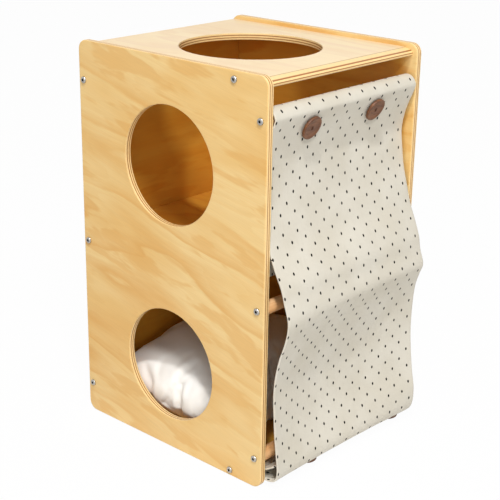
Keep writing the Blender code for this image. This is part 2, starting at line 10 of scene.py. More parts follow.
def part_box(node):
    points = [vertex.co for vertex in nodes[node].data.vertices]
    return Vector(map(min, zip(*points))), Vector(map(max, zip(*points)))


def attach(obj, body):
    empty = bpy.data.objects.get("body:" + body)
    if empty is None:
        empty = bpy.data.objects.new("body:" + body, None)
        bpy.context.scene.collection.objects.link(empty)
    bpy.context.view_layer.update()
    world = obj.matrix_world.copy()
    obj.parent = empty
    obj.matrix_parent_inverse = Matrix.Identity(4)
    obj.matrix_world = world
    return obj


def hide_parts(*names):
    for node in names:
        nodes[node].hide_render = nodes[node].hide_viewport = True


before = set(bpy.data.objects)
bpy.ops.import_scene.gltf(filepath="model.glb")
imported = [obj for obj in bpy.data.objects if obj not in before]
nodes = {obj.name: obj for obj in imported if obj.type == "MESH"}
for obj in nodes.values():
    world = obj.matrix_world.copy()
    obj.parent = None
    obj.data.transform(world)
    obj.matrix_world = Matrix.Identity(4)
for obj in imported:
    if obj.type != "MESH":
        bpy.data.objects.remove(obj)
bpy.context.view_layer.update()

# The case stands this far back from the middle of the whole object
CASE_Y = 0.02055

# Rails and cloth front, in the case's own axes
RAIL_Y = -0.187
TOP_RAIL_Z = 0.585
CLOTH_LEFT_X = -0.1725
CLOTH_RIGHT_X = 0.1680
CLOTH_THICK = 0.0024
CLOTH_COLUMNS = 69
CLOTH_ROWS = 440
LOOP_R = 0.0160
FOLD_Z = 0.013
FLAP = ((-0.1745, 0.338), (-0.1735, 0.440), (-0.1725, 0.525), (-0.1712, 0.556))
# Height, then the cloth's Y there: at its left edge, middle and right edge
FALL = (
    (0.569, -0.1965, -0.1940, -0.1968),
    (0.556, -0.1932, -0.1880, -0.1912),
    (0.540, -0.1905, -0.1832, -0.1856),
    (0.512, -0.1868, -0.1810, -0.1805),
    (0.481, -0.1850, -0.1835, -0.1837),
    (0.450, -0.1868, -0.1878, -0.1890),
    (0.420, -0.1912, -0.1948, -0.1975),
    (0.391, -0.1982, -0.2032, -0.2065),
    (0.364, -0.2092, -0.2160, -0.2180),
    (0.338, -0.2222, -0.2272, -0.2280),
    (0.316, -0.2290, -0.2305, -0.2325),
    (0.292, -0.2360, -0.2375, -0.2402),
    (0.274, -0.2358, -0.2325, -0.2345),
    (0.252, -0.2308, -0.2225, -0.2280),
    (0.226, -0.2220, -0.2140, -0.2252),
    (0.196, -0.2152, -0.2072, -0.2243),
    (0.165, -0.2122, -0.2030, -0.2250),
    (0.132, -0.2135, -0.2030, -0.2278),
    (0.096, -0.2160, -0.2065, -0.2325),
    (0.062, -0.2205, -0.2150, -0.2385),
    (0.034, -0.2235, -0.2235, -0.2370),
    (0.019, -0.2200, -0.2210, -0.2280),
)
FOLD_FRONT_Y = (-0.2085, -0.2090, -0.2130)
FOLD = ((-0.1930, 0.0125), (-0.1780, 0.0135))
TAIL = ((-0.1705, 0.0190), (-0.1780, 0.0250), (-0.1950, 0.0290), (-0.2165, 0.0420))

# How far the cloth's ripples stand off its even shape: broad ones and small ones
RIPPLE_BROAD = 0.0016
RIPPLE_SMALL = 0.0006

# Printed dots: how far apart they are in a row, and where one of them is
DOT_PITCH = 0.0312
DOT_ROW_PITCH = 0.0149
DOT_X = -0.1549
DOT_ROW_Z = 0.5970
DOT_HALF_WIDTH = 0.0018
DOT_HALF_HEIGHT = 0.0026
DOT_WOBBLE = 0.0016
WEAVE_PITCH = 0.0013

# Sewn buttons
BUTTON_R = 0.019
BUTTON_THICK = 0.0046
BUTTON_STEPS = 64
BUTTON_DISH = 0.0013
THREAD_R = 0.0005
THREAD_REACH = 0.0030

# Furniture bolts. Each is turned by its height, so that no two sockets stand alike.
HEAD_R = 0.0055
HEAD_HEIGHT = 0.0028
SOCKET_R = 0.0023
SOCKET_DEPTH = 0.0018
BOLT_R = 0.003
BOLT_LENGTH = 0.040
BOLT_STEPS = 48
HEAD_STEPS = 8
HEAD_RIM = 0.0007
SPIN_A_METRE = 8.0

# Half a ply board's thickness in millimetres, and the height of the roof board's top
PLY_HALF = 6.0
ROOF_TOP = 0.642

# A cut edge, as shares of the board's thickness: face veneers, glue lines and cross plies
FACE_VENEER = 0.050
GLUE_HALF = 0.010
CROSS_PLIES = (0.33, 0.67)
CROSS_PLY_CORE = 0.050
CROSS_PLY_FADE = 0.080

# Over this stretch behind the front edge, the painted shade on the inner veneers fades in to that
# of the rooms
ROOM_SHADE_FRONT_Y = (-0.170, -0.145)

# Pine grain: how fast each noise changes along the grain, across it and from face to face
DRIFT_SCALE = (1.9, 9.5, 1.0)
JAG_SCALE = (12.0, 60.0, 1.0)
STRENGTH_SCALE = (3.1, 7.0, 2.0)
PATCH_SCALE = (7.0, 30.0, 1.0)
FIBRE_SCALE = (22.0, 900.0, 1.0)
CLOUD_SCALE = (5.0, 9.0, 1.0)
SPECK_SCALE = (340.0, 340.0, 340.0)

# Growth rings a metre, how many rings the slow and the fine noise shift them by, how strong the
# flames and bands are, and the grain's angle on the near side panel in degrees
RINGS_A_METRE = 9.0
DRIFT_RINGS = 5.6
JAG_RINGS = 0.36
FLAME_SHARE = 0.68
BAND_SHARE = 0.11
SIDE_GRAIN_TILT = 13.0

# Edges steeper than this many degrees stay sharp when a part is shaded smooth
SHARP_FACETS = 50
SHARP_BOLT = 40
SHARP_BUTTON = 50

# Floor cushion: its two layers of cotton before they are filled, its deepest crease, and how
# Blender's cloth swells it
PILLOW_CUT = (0.372, 0.340)
PILLOW_COLUMNS = 60
PILLOW_ROWS = 54
PILLOW_RISE = 0.030
PILLOW_UNDER = 0.014
PILLOW_SEAM = 0.052
SWELL_FRAMES = 40
CREASE = ((-0.1538, 0.0661, 0.0566), (-0.1545, 0.0338, 0.0996), (-0.1378, 0.0129, 0.1163))
CREASE_DEEP = 0.0050
CREASE_ABOVE = 0.004
CREASE_BELOW = 0.011
ROUND_CORNER = 0.22
SWELL = {
    "quality": 6,
    "mass": 0.3,
    "air_damping": 2.0,
    "tension_stiffness": 15.0,
    "compression_stiffness": 15.0,
    "shear_stiffness": 5.0,
    "bending_stiffness": 2.0,
    "tension_damping": 10.0,
    "compression_damping": 10.0,
    "shear_damping": 10.0,
    "bending_damping": 1.0,
    "use_pressure": True,
    "uniform_pressure_force": 8.0,
    "vertex_group_shrink": "seam",
    "shrink_min": 0.0,
    "shrink_max": 0.05,
}

# The photograph's camera: its turn right of +Y, tilt down and roll in degrees, its lens, and its
# place in the case's own axes
CAMERA_YAW = 48.2870
CAMERA_PITCH = 20.1436
CAMERA_ROLL = 0.9735
CAMERA_LENS = 86.1915
CAMERA_SENSOR = 36.0
CAMERA_PLACE = (-1.40944, -1.26237, 0.99182)

# Lamps: name, place, size and power. They all aim at one point.
LAMPS = (
    ("front_left", (-2.10, -2.93, 3.77), 0.7, 90.0),
    ("overhead", (-1.86, -1.44, 4.72), 0.3, 112.0),
    ("low_fill", (-2.60, -2.80, 1.50), 1.5, 23.0),
)
LAMP_AIM = (0.0, 0.0, 0.3)
SKY_STRENGTH = 0.30
FLOOR_SIZE = 6.0
FLOOR_DROP = 0.0004
FLOOR_WHITE = 0.97


def colour(red, green, blue):
    """A linear colour from 0-255 screen values."""
    linear = []
    for value in (red, green, blue):
        share = value / 255
        linear.append(share / 12.92 if share <= 0.04045 else ((share + 0.055) / 1.055) ** 2.4)
    return (*linear, 1.0)


class Shading:
    """A node material, with short ways to add to it."""

    def __init__(self, name, roughness=0.5, **settings):
        self.material = bpy.data.materials.new(name)
        self.material.use_nodes = True
        self.tree = self.material.node_tree
        self.shader = self.tree.nodes["Principled BSDF"]
        self.put(self.shader.inputs["Roughness"], roughness)
        for label, value in settings.items():
            self.put(self.shader.inputs[label.replace("_", " ")], value)

    def put(self, socket, value):
        if isinstance(value, bpy.types.NodeSocket):
            self.tree.links.new(value, socket)
        else:
            socket.default_value = value

    def node(self, kind, values=(), **settings):
        made = self.tree.nodes.new("ShaderNode" + kind)
        for label, value in settings.items():
            setattr(made, label, value)
        for index, value in enumerate(values):
            if value is not None:
                self.put(made.inputs[index], value)
        return made

    def sum(self, operation, first, second=0.0):
        return self.node("Math", (first, second), operation=operation).outputs[0]

    def split(self, vector):
        return self.node("SeparateXYZ", (vector,)).outputs

    def join(self, x, y, z):
        return self.node("CombineXYZ", (x, y, z)).outputs[0]

    def stretch(self, vector, factors):
        return self.node("VectorMath", (vector, factors), operation="MULTIPLY").outputs[0]

    def noise(self, vector, detail=2.0, rough=0.5, twist=0.0):
        made = self.node("TexNoise")
        self.put(made.inputs["Vector"], vector)
        self.put(made.inputs["Scale"], 1.0)
        self.put(made.inputs["Detail"], detail)
        self.put(made.inputs["Roughness"], rough)
        self.put(made.inputs["Distortion"], twist)
        return made.outputs[0]

    def spread(self, value, low, high, to_low=0.0, to_high=1.0):
        """Maps a value smoothly from one range to another."""
        values = (value, low, high, to_low, to_high)
        return self.node("MapRange", values, interpolation_type="SMOOTHSTEP").outputs[0]

    def ramp(self, value, stops):
        """Colours along a value, from pairs of position and colour."""
        made = self.node("ValToRGB", (value,))
        points = made.color_ramp.elements
        while len(points) < len(stops):
            points.new(1.0)
        for point, (position, tone) in zip(points, stops):
            point.position = position
            point.color = tone
        return made.outputs[0]

    def mix(self, share, first, second, blend="MIX"):
        made = self.node("Mix", data_type="RGBA", blend_type=blend)
        self.put(made.inputs[0], share)
        self.put(made.inputs[6], first)
        self.put(made.inputs[7], second)
        return made.outputs[2]

    def place(self, output="Object"):
        return self.node("TexCoord").outputs[output]

    def bump(self, height, strength, distance):
        """Fine relief for the light only."""
        made = self.node("Bump")
        self.put(made.inputs["Strength"], strength)
        self.put(made.inputs["Distance"], distance)
        self.put(made.inputs["Height"], height)
        self.put(self.shader.inputs["Normal"], made.outputs[0])

    def paint(self, base):
        self.put(self.shader.inputs["Base Color"], base)
        return self.material


PALE_PINE = colour(240, 206, 141)
WARM_PINE = colour(233, 189, 115)
AMBER = colour(222, 164, 80)
# Painted shade: the tint that darkens the veneers inside the rooms
ROOM_SHADE_TINT = colour(240, 210, 126)
PLY_LIGHT = colour(250, 216, 152)
PLY_DARK = colour(170, 106, 50)
GLUE = colour(120, 72, 32)
# Painted sheen: the white that a board's colour is mixed toward
SHEEN_WHITE = colour(252, 240, 214)


def glue_line(share):
    """Ramp stops of one thin glue line."""
    return [(share - GLUE_HALF, PLY_LIGHT), (share, GLUE), (share + GLUE_HALF, PLY_LIGHT)]


def ply_edge(shading, deep):
    """The stripes that a cut edge shows: thin face veneers, glue lines and darker cross plies."""
    stops = [(0.0, PLY_LIGHT)] + glue_line(FACE_VENEER)
    for middle in CROSS_PLIES:
        stops += [(middle - CROSS_PLY_FADE, PLY_LIGHT), (middle - CROSS_PLY_CORE, PLY_DARK)]
        stops += [(middle + CROSS_PLY_CORE, PLY_DARK), (middle + CROSS_PLY_FADE, PLY_LIGHT)]
    stops += glue_line(1 - FACE_VENEER)
    share = shading.sum("MULTIPLY_ADD", deep, 0.5 / PLY_HALF)
    share.node.inputs[2].default_value = 0.5
    return shading.ramp(share, stops)


def pine_flames(made, face, across):
    """The log's rings, cut into long flames with one sharp and one soft edge, and finer bands."""
    drift = made.noise(made.stretch(face, DRIFT_SCALE), 2.0, 0.45)
    jag = made.noise(made.stretch(face, JAG_SCALE), 3.0, 0.6)
    rings = made.sum("MULTIPLY", across, RINGS_A_METRE)
    rings = made.sum("ADD", rings, made.sum("MULTIPLY", drift, DRIFT_RINGS))
    rings = made.sum("ADD", rings, made.sum("MULTIPLY", jag, JAG_RINGS))
    cycle = made.sum("FRACT", rings)
    flame = made.sum("MULTIPLY", made.spread(cycle, 0.62, 0.0), made.spread(cycle, 0.0, 0.10))
    strong = made.noise(made.stretch(face, STRENGTH_SCALE))
    flame = made.sum("MULTIPLY", flame, made.spread(strong, 0.32, 0.60, 0.12, 1.0))
    bands = made.sum("FRACT", made.sum("MULTIPLY", rings, 3.0))
    bands = made.sum("MULTIPLY", made.spread(bands, 0.9, 0.1), BAND_SHARE)
    return flame, bands


def pine_face(made, face, flame, bands, fibre, painted_sheen):
    """A veneer's colour: a cloudy ground, amber flames and patches, and fine fibres, whitened
    where a painted sheen is asked for.
    """
    cloud = made.noise(made.stretch(face, CLOUD_SCALE))
    base = made.mix(made.spread(cloud, 0.35, 0.7), PALE_PINE, WARM_PINE)
    patch = made.noise(made.stretch(face, PATCH_SCALE), 3.0, 0.6, 0.3)
    patch = made.spread(patch, 0.51, 0.62, 0.0, 0.5)
    amber = made.sum("ADD", made.sum("MULTIPLY", flame, FLAME_SHARE), bands)
    base = made.mix(made.sum("MAXIMUM", amber, patch), base, AMBER)
    shade = made.spread(fibre, 0.2, 0.8, 0.955, 1.035)
    base = made.mix(1.0, base, made.join(shade, shade, shade), "MULTIPLY")
    # Painted sheen: the board whitened by the given share
    return made.mix(painted_sheen, base, SHEEN_WHITE) if painted_sheen else base


def room_shade_mask(made, axes, deep, inside):
    """Where the painted room shade goes: one on the veneers that face the rooms, below the roof's
    top and behind the front edge, and nothing on the others.
    """
    shade_share = made.sum("LESS_THAN", axes["Z"], ROOF_TOP - 0.001)
    shade_share = made.sum("MULTIPLY", shade_share, made.spread(axes["Y"], *ROOM_SHADE_FRONT_Y))
    if inside:
        facing = made.sum("GREATER_THAN", made.sum("MULTIPLY", deep, float(inside)), 0.0)
        shade_share = made.sum("MULTIPLY", shade_share, facing)
    return shade_share


def ply(name, thick, grain, middle, seed, inside=0, painted_sheen=0.0, tilt=0.0):
    """Clear-lacquered pine ply. The axes are letters, and middle is the board's mid plane.

    Inside is the side, -1 or 1, that faces the rooms, or 0 where both do; the veneers there get
    painted shade. Painted_sheen is how far the board is whitened, as a painted sheen of its
    lacquer. Tilt is the angle between the grain and the board's edge.
    """
    made = Shading(name)
    axes = dict(zip("XYZ", made.split(made.place())))
    across = axes[({"X", "Y", "Z"} - {thick, grain}).pop()]
    deep = made.sum("MULTIPLY", made.sum("SUBTRACT", axes[thick], middle), 1000.0)
    side = made.sum("ADD", made.sum("MULTIPLY", made.sum("SIGN", deep), 3.7), seed)
    face = made.join(axes[grain], across, side)
    if tilt:
        turn = (face, None, None, math.radians(-tilt))
        face = made.node("VectorRotate", turn, rotation_type="Z_AXIS").outputs[0]
        across = made.split(face)[1]

    flame, bands = pine_flames(made, face, across)
    fibre = made.noise(made.stretch(face, FIBRE_SCALE), 3.0, 0.65)
    base = pine_face(made, face, flame, bands, fibre, painted_sheen)

    # Painted shade: the veneers that face the rooms are darkened and made more golden, standing
    # in for the shade inside the rooms
    painted_room_shade = made.mix(1.0, base, ROOM_SHADE_TINT, "MULTIPLY")
    base = made.mix(room_shade_mask(made, axes, deep, inside), base, painted_room_shade)

    # Inner plies show where the board is cut
    cut = made.spread(made.sum("ABSOLUTE", deep), 5.56, 5.44)
    ends = made.noise(made.stretch(made.place(), SPECK_SCALE), 2.0, 0.7)
    speck = made.spread(ends, 0.3, 0.75, 1.02, 0.93)
    edge = made.mix(1.0, ply_edge(made, deep), made.join(speck, speck, speck), "MULTIPLY")
    rough = made.sum("ADD", fibre, made.sum("MULTIPLY", flame, -0.25))
    made.put(made.shader.inputs["Roughness"], made.spread(rough, 0.1, 0.9, 0.34, 0.5))
    relief = made.sum("ADD", fibre, made.sum("MULTIPLY", flame, 0.3))
    made.bump(made.sum("MULTIPLY", relief, made.sum("SUBTRACT", 1.0, cut)), 0.12, 0.0004)
    return made.paint(made.mix(cut, base, edge))


def beech():
    """Round rails: fine straight grain with short dark flecks."""
    made = Shading("beech_rod")
    place = made.place()
    grain = made.noise(made.stretch(place, (18.0, 420.0, 420.0)), 3.0, 0.6)
    fleck = made.noise(made.stretch(place, (150.0, 1500.0, 1500.0)), 1.0, 0.5)
    slow = made.noise(made.stretch(place, (4.0, 60.0, 60.0)))
    base = made.mix(made.spread(slow, 0.3, 0.7), colour(243, 196, 143), colour(232, 176, 118))
    base = made.mix(made.spread(grain, 0.45, 0.75, 0.0, 0.5), base, colour(214, 150, 92))
    base = made.mix(made.spread(fleck, 0.68, 0.78, 0.0, 0.45), base, colour(176, 112, 66))
    made.put(made.shader.inputs["Roughness"], made.spread(grain, 0.2, 0.8, 0.36, 0.5))
    made.bump(grain, 0.1, 0.0003)
    return made.paint(base)


def zinc(name="zinc_plate", bright=colour(196, 194, 190), dull=colour(150, 148, 144)):
    """Bright zinc plate with fine turning marks and a little dulling."""
    made = Shading(name, Metallic=1.0)
    place = made.place()
    wear = made.noise(made.stretch(place, (900.0, 900.0, 900.0)), 3.0, 0.6)
    made.put(made.shader.inputs["Roughness"], made.spread(wear, 0.3, 0.7, 0.2, 0.38))
    made.bump(wear, 0.05, 0.0001)
    return made.paint(made.mix(made.spread(wear, 0.35, 0.7), bright, dull))


def brass():
    """Turned brass of the threaded inserts."""
    made = Shading("brass_insert", Metallic=1.0)
    wear = made.noise(made.stretch(made.place(), (700.0, 700.0, 700.0)), 3.0, 0.6)
    made.put(made.shader.inputs["Roughness"], made.spread(wear, 0.3, 0.7, 0.28, 0.45))
    return made.paint(made.mix(wear, colour(214, 178, 104), colour(180, 142, 76)))


def raw_dowel():
    """Unvarnished wood of the pins."""
    made = Shading("dowel_raw", roughness=0.7)
    grain = made.noise(made.stretch(made.place(), (40.0, 700.0, 700.0)), 3.0, 0.6)
    made.bump(grain, 0.2, 0.0003)
    return made.paint(made.mix(grain, colour(226, 192, 142), colour(190, 146, 98)))


def thread_bump(shading, across, along, pitch):
    """Plain weave: over-and-under threads at a pitch, from two coordinates in metres."""
    turns = 2 * math.pi / pitch
    one = shading.sum("SINE", shading.sum("MULTIPLY", across, turns))
    two = shading.sum("SINE", shading.sum("MULTIPLY", along, turns))
    return shading.sum("MULTIPLY", one, two)


def canvas():
    """Cream cotton canvas with small near-black dots, a plain weave and slubs."""
    made = Shading("dotted_canvas_print", roughness=0.88)
    made.shader.inputs["Sheen Weight"].default_value = 0.05
    made.shader.inputs["Sheen Roughness"].default_value = 0.5
    made.shader.inputs["Specular IOR Level"].default_value = 0.12
    spot = made.split(made.place("UV"))
    across, along = spot[0], spot[1]
    wobble = made.noise(made.stretch(made.place("UV"), (60.0, 60.0, 1.0)), 1.0)
    wobble = made.sum("MULTIPLY", made.sum("SUBTRACT", wobble, 0.5), DOT_WOBBLE)
    row = made.sum("DIVIDE", made.sum("ADD", along, wobble), DOT_ROW_PITCH)
    number = made.sum("ROUND", row)
    shift = made.sum("MULTIPLY", made.sum("FLOORED_MODULO", number, 2.0), 0.5)
    cell = made.sum("ADD", made.sum("DIVIDE", made.sum("ADD", across, wobble), DOT_PITCH), shift)
    cell = made.sum("SUBTRACT", made.sum("FRACT", made.sum("ADD", cell, 0.5)), 0.5)
    wide = made.sum("MULTIPLY", cell, DOT_PITCH / DOT_HALF_WIDTH)
    tall = made.sum("SUBTRACT", row, number)
    tall = made.sum("MULTIPLY", tall, DOT_ROW_PITCH / DOT_HALF_HEIGHT)
    far = made.sum("ADD", made.sum("MULTIPLY", wide, wide), made.sum("MULTIPLY", tall, tall))
    dot = made.spread(far, 1.1, 0.9)

    weave = thread_bump(made, across, along, WEAVE_PITCH)
    slub = made.noise(made.stretch(made.place("UV"), (900.0, 35.0, 1.0)), 2.0)
    soft = made.noise(made.stretch(made.place("UV"), (14.0, 14.0, 1.0)), 3.0)
    base = made.mix(made.spread(soft, 0.3, 0.7), colour(217, 211, 197), colour(210, 203, 187))
    base = made.mix(made.spread(slub, 0.5, 0.8, 0.0, 0.3), base, colour(198, 189, 170))
    base = made.mix(dot, base, colour(12, 8, 4))
    made.bump(made.sum("ADD", weave, slub), 0.2, 0.0003)
    return made.paint(base)


def cotton():
    """White brushed cotton of the cushion."""
    made = Shading("cushion_brushed_cotton", roughness=0.9)
    made.shader.inputs["Sheen Weight"].default_value = 0.25
    made.shader.inputs["Sheen Roughness"].default_value = 0.45
    made.shader.inputs["Specular IOR Level"].default_value = 0.2
    place = made.place()
    nap = made.noise(made.stretch(place, (700.0, 700.0, 700.0)), 3.0, 0.7)
    soft = made.noise(made.stretch(place, (16.0, 16.0, 16.0)), 3.0)
    base = made.mix(made.spread(soft, 0.3, 0.7), colour(252, 250, 245), colour(248, 244, 237))
    base = made.mix(made.spread(nap, 0.55, 0.8, 0.0, 0.25), base, colour(234, 229, 220))
    made.bump(made.sum("ADD", nap, made.sum("MULTIPLY", soft, 0.5)), 0.25, 0.0005)
    return made.paint(base)


def button_wood():
    """Dark stained wood, with grain along one way of the button."""
    made = Shading("button_stained_wood")
    place = made.place("UV")
    grain = made.noise(made.stretch(place, (700.0, 60.0, 1.0)), 3.0, 0.6, 0.4)
    slow = made.noise(made.stretch(place, (110.0, 20.0, 1.0)))
    base = made.mix(made.spread(slow, 0.35, 0.65), colour(128, 80, 44), colour(102, 60, 31))
    base = made.mix(made.spread(grain, 0.45, 0.75, 0.0, 0.7), base, colour(66, 36, 18))
    made.put(made.shader.inputs["Roughness"], made.spread(grain, 0.2, 0.8, 0.38, 0.55))
    made.bump(grain, 0.15, 0.0003)
    return made.paint(base)


def sewing_thread():
    """Brown twisted thread that holds the buttons."""
    made = Shading("button_thread", roughness=0.8)
    twist = made.noise(made.stretch(made.place(), (2500.0, 2500.0, 900.0)), 1.0)
    made.bump(twist, 0.4, 0.0002)
    return made.paint(made.mix(twist, colour(96, 62, 42), colour(64, 38, 26)))


def smooth_facets(node):
    """Shades a faceted node as the curved surface it stands for. The mesh stays as it is."""
    tree = bpy.data.node_groups.get("smooth_facets") or facet_tree()
    made = node.modifiers.new("smooth_facets", "NODES")
    made.node_group = tree
    made = node.modifiers.new("flat_faces_stay_flat", "WEIGHTED_NORMAL")
    made.mode = "FACE_AREA"
    made.keep_sharp = True


def facet_tree():
    """Welds the facets' corners, and keeps only the steep edges between facets sharp."""
    tree = bpy.data.node_groups.new("smooth_facets", "GeometryNodeTree")
    tree.interface.new_socket("Geometry", in_out="INPUT", socket_type="NodeSocketGeometry")
    tree.interface.new_socket("Geometry", in_out="OUTPUT", socket_type="NodeSocketGeometry")
    start = tree.nodes.new("NodeGroupInput")
    forget = tree.nodes.new("GeometryNodeRemoveAttribute")
    forget.inputs["Name"].default_value = "custom_normal"
    weld = tree.nodes.new("GeometryNodeMergeByDistance")
    weld.inputs["Distance"].default_value = 0.000005
    faces = tree.nodes.new("GeometryNodeSetShadeSmooth")
    faces.domain = "FACE"
    angle = tree.nodes.new("GeometryNodeInputMeshEdgeAngle")
    steep = tree.nodes.new("FunctionNodeCompare")
    steep.operation = "GREATER_THAN"
    steep.inputs[1].default_value = math.radians(SHARP_FACETS)
    edges = tree.nodes.new("GeometryNodeSetShadeSmooth")
    edges.domain = "EDGE"
    edges.inputs["Shade Smooth"].default_value = False
    end = tree.nodes.new("NodeGroupOutput")
    tree.links.new(start.outputs[0], forget.inputs["Geometry"])
    tree.links.new(forget.outputs[0], weld.inputs["Geometry"])
    tree.links.new(weld.outputs[0], faces.inputs["Geometry"])
    tree.links.new(faces.outputs[0], edges.inputs["Geometry"])
    tree.links.new(angle.outputs["Unsigned Angle"], steep.inputs[0])
    tree.links.new(steep.outputs[0], edges.inputs["Selection"])
    tree.links.new(edges.outputs[0], end.inputs[0])
    return tree


def dress(name, material):
    """Gives a CAD node its material."""
    node = nodes[name]
    node.data.materials.clear()
    node.data.materials.append(material)
    smooth_facets(node)


def dress_frame():
    """Materials of the wooden panels, rails and hidden fittings."""
    low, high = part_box("left_side_panel")
    middle = (low.x + high.x) / 2
    left = ply("ply_left_side", "X", "Y", middle, 11.3, 1, tilt=SIDE_GRAIN_TILT)
    dress("left_side_panel", left)
    dress("right_side_panel", ply("ply_right_side", "X", "Y", -middle, 27.9, -1))
    # The last column is painted sheen: how far a board is whitened; only the roof's top gets it
    for name, thick, grain, seed, inside, painted_sheen in (
        ("back_panel", "Y", "X", 41.2, -1, 0.0),
        ("roof_panel", "Z", "Y", 53.6, -1, 0.45),
        ("middle_shelf", "Z", "Y", 67.1, 0, 0.0),
        ("floor_panel", "Z", "Y", 79.5, 0, 0.0),
    ):
        low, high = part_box(name)
        middle = ((low + high) / 2)["XYZ".index(thick)]
        dress(name, ply("ply_" + name, thick, grain, middle, seed, inside, painted_sheen))
    wood, steel, gold, raw = beech(), zinc(), brass(), raw_dowel()
    for name in nodes:
        if name.endswith("_rail"):
            dress(name, wood)
        elif name.endswith("_nut"):
            dress(name, steel)
        elif name.endswith("_insert"):
            dress(name, gold)
        elif name.endswith("_dowel"):
            dress(name, raw)


def new_piece(name, mesh, material, body):
    """An object with one material that rides on a body."""
    piece = bpy.data.objects.new(name, mesh)
    bpy.context.scene.collection.objects.link(piece)
    mesh.materials.append(material)
    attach(piece, body)
    return piece


def ring(work, points):
    """New corners at the points, in their order."""
    return [work.verts.new(point) for point in points]


def bridge(work, first, second):
    """Faces between two closed rings of equally many points."""
    count = len(first)
    for i in range(count):
        after = (i + 1) % count
        work.faces.new((first[i], first[after], second[after], second[i]))


def round_points(radius, height, steps):
    """Points of a level circle."""
    turn = [2 * math.pi * i / steps for i in range(steps)]
    return [(radius * math.cos(a), radius * math.sin(a), height) for a in turn]


def hexagon_points(radius, height, steps):
    """As many points as a circle has, laid along a hexagon's sides."""
    points = []
    for i in range(steps):
        angle = 2 * math.pi * i / steps
        off = (angle + math.pi / 6) % (math.pi / 3) - math.pi / 6
        reach = radius / math.cos(off)
        points.append((reach * math.cos(angle), reach * math.sin(angle), height))
    return points


def bolt_rings():
    """A bolt's outline as rings, from its socket's floor over the head and down the shank."""
    floor = HEAD_HEIGHT - SOCKET_DEPTH
    rings = [hexagon_points(SOCKET_R * 0.86, floor, BOLT_STEPS)]
    rings.append(hexagon_points(SOCKET_R * 0.87, HEAD_HEIGHT - 0.00015, BOLT_STEPS))
    rings.append(hexagon_points(SOCKET_R * 0.93, HEAD_HEIGHT, BOLT_STEPS))
    crown = SOCKET_R + HEAD_RIM
    for step in range(HEAD_STEPS):
        angle = math.pi / 2 * step / (HEAD_STEPS - 1)
        across = crown + (HEAD_R - crown) * math.sin(angle)
        height = HEAD_RIM + (HEAD_HEIGHT - HEAD_RIM) * math.cos(angle)
        rings.append(round_points(across, height, BOLT_STEPS))
    for radius, height in (
        (HEAD_R, 0.0001),
        (HEAD_R - 0.0002, 0.0),
        (BOLT_R, 0.0),
        (BOLT_R, 0.0006 - BOLT_LENGTH),
        (BOLT_R - 0.0006, -BOLT_LENGTH),
    ):
        rings.append(round_points(radius, height, BOLT_STEPS))
    return rings


def bolt_piece(name, material, socket_shade):
    """A button-head bolt with a rounded head, a hexagon socket and a plain shank."""
    low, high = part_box(name)
    side = -1 if low.x < 0 else 1
    work = bmesh.new()
    made = [ring(work, points) for points in bolt_rings()]
    for first, second in zip(made, made[1:]):
        bridge(work, first, second)
    # The socket's floor and walls take the second material, the painted shade
    work.faces.new(made[0]).material_index = 1
    work.faces.new(made[-1])
    work.faces.ensure_lookup_table()
    for face in work.faces[:BOLT_STEPS]:
        face.material_index = 1
    bmesh.ops.recalc_face_normals(work, faces=work.faces)
    mesh = bpy.data.meshes.new(name + "_fine")
    work.to_mesh(mesh)
    work.free()
    mesh.shade_smooth()
    mesh.set_sharp_from_angle(angle=math.radians(SHARP_BOLT))
    head = high.x - HEAD_HEIGHT if side > 0 else low.x + HEAD_HEIGHT
    middle = (low + high) / 2
    spin = Matrix.Rotation(SPIN_A_METRE * middle.z, 4, "Z")
    turn = Matrix.Rotation(side * math.pi / 2, 4, "Y")
    mesh.transform(Matrix.Translation((head, middle.y, middle.z)) @ turn @ spin)
    piece = new_piece(name + "_fine", mesh, material, "house")
    mesh.materials.append(socket_shade)
    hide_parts(name)


def bolts():
    """All the bolts, with painted shade in their sockets: a much darker zinc on the socket's
    floor and walls.
    """
    material = zinc()
    # Painted shade: dark zinc that stands in for the shade inside the sockets
    socket_shade = zinc("zinc_socket_painted_shade", colour(70, 68, 65), colour(42, 40, 38))
    for name in [n for n in nodes if n.endswith("_bolt")]:
        bolt_piece(name, material, socket_shade)


def cloth_points(column):
    """Side view of the cloth at its left edge 0, middle 1 or right edge 2, from hem to hem."""
    loop = []
    for step in range(9):
        angle = math.pi * step / 8
        loop.append((RAIL_Y + LOOP_R * math.cos(angle), TOP_RAIL_Z + LOOP_R * math.sin(angle)))
    fall = [(row[column + 1], row[0]) for row in FALL]
    fold = [(FOLD_FRONT_Y[column], FOLD_Z)] + list(FOLD) + list(TAIL)
    return [Vector(point) for point in list(FLAP) + loop + fall + fold]


def curve_point(points, share):
    """A place on the smooth curve between the middle two of four points."""
    before, start, stop, after = points
    drift = (stop - before) * share
    bend = (2 * before - 5 * start + 4 * stop - after) * share**2
    swing = (3 * start - before - 3 * stop + after) * share**3
    return start + 0.5 * (drift + bend + swing)


def smooth_path(points, count):
    """Evenly spaced places on the smooth curve through the points, and its length."""
    pieces = 24  # between one given point and the next
    ends = [points[0]] + list(points) + [points[-1]]
    fine = []
    for i in range(len(points) - 1):
        for step in range(pieces):
            fine.append(curve_point(ends[i : i + 4], step / pieces))
    fine.append(points[-1])
    reach = [0.0]
    for here, there in zip(fine, fine[1:]):
        reach.append(reach[-1] + (there - here).length)
    path = []
    at = 0
    for step in range(count):
        want = reach[-1] * step / (count - 1)
        while at < len(reach) - 2 and reach[at + 1] < want:
            at += 1
        share = (want - reach[at]) / (reach[at + 1] - reach[at])
        path.append(fine[at].lerp(fine[at + 1], share))
    return path, reach[-1]


